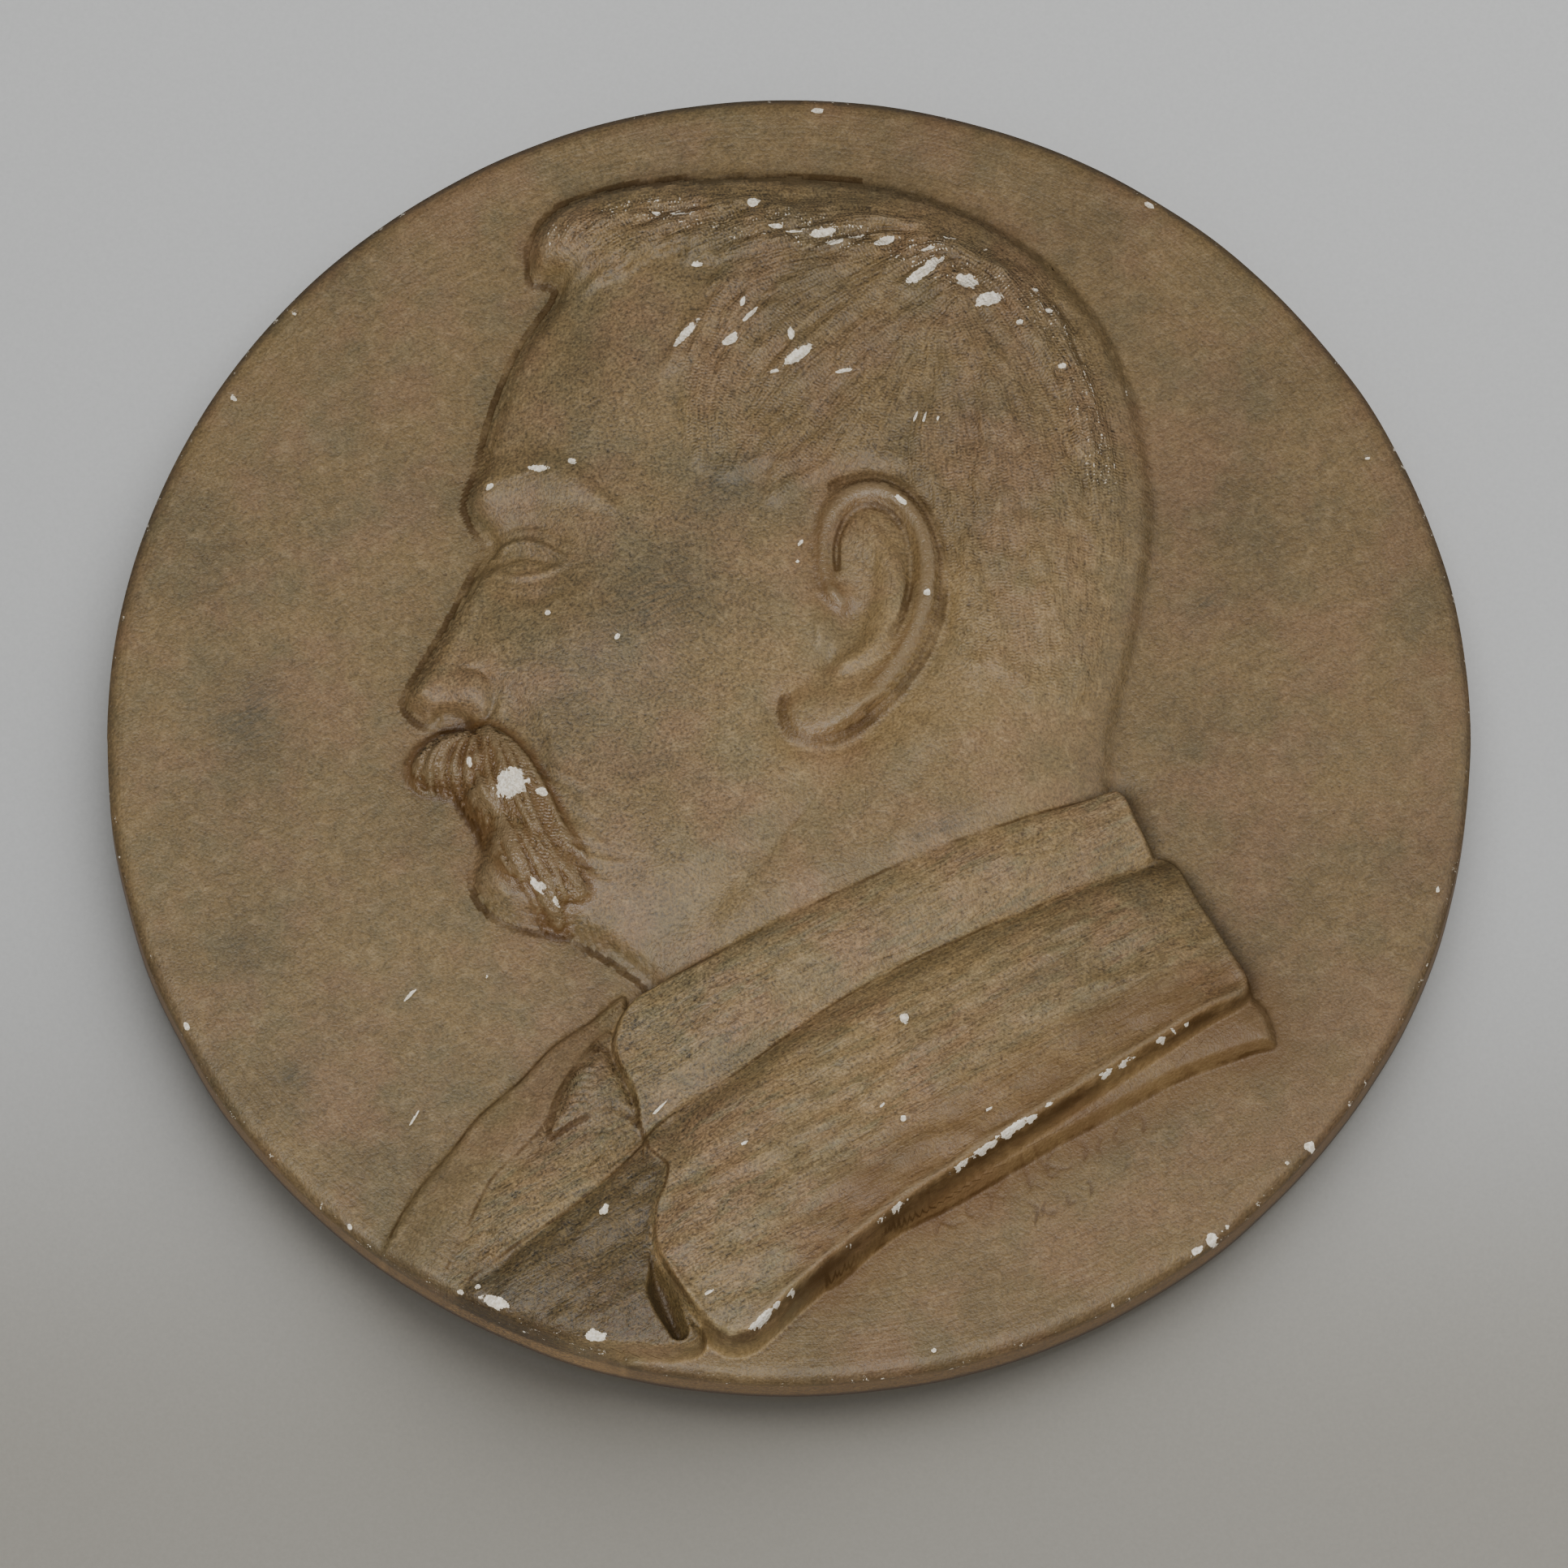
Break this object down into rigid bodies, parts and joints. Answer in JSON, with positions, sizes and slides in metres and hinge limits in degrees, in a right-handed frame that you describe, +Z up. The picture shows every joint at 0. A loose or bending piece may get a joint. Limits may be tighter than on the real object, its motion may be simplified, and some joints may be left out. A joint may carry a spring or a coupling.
{
  "type": "plaster relief medallion",
  "caption": "Round cast plaster wall plaque with a low-relief bust in profile on its front and a flat back.",
  "frame": {"origin": "centre of the flat back, on the wall's plane", "axes": "+Z up as hung, +Y into the wall along the back's outward normal, front towards -Y"},
  "size_m": [0.36, 0.033, 0.36],
  "materials": {
    "glazed_plaster": "tan-brown painted and glazed plaster, satin, worn to white plaster at chips"
  },
  "bodies": {
    "root": {"medallion": "glazed_plaster"}
  },
  "joints": []
}
